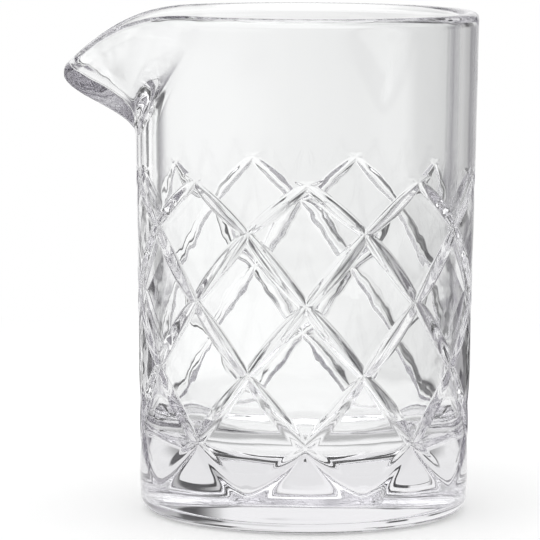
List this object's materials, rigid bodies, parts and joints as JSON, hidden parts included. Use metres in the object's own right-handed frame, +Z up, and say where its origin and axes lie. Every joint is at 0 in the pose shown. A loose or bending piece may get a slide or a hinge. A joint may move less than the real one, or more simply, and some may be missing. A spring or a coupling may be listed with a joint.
{
  "type": "jug",
  "caption": "Clear glass milk jug with a pulled pouring lip, a heavy base and a lattice of crossing grooves round the lower wall",
  "frame": {"origin": "centre of the flat underside, on the axis of the round body", "axes": "+Z up along the body's axis; the pouring lip points to -X; the picture looks along +Y"},
  "size_m": [0.1156, 0.0958, 0.14],
  "materials": {
    "clear_glass": "clear, fire-polished"
  },
  "bodies": {
    "root": {"glass_jug": "clear_glass"}
  },
  "joints": []
}
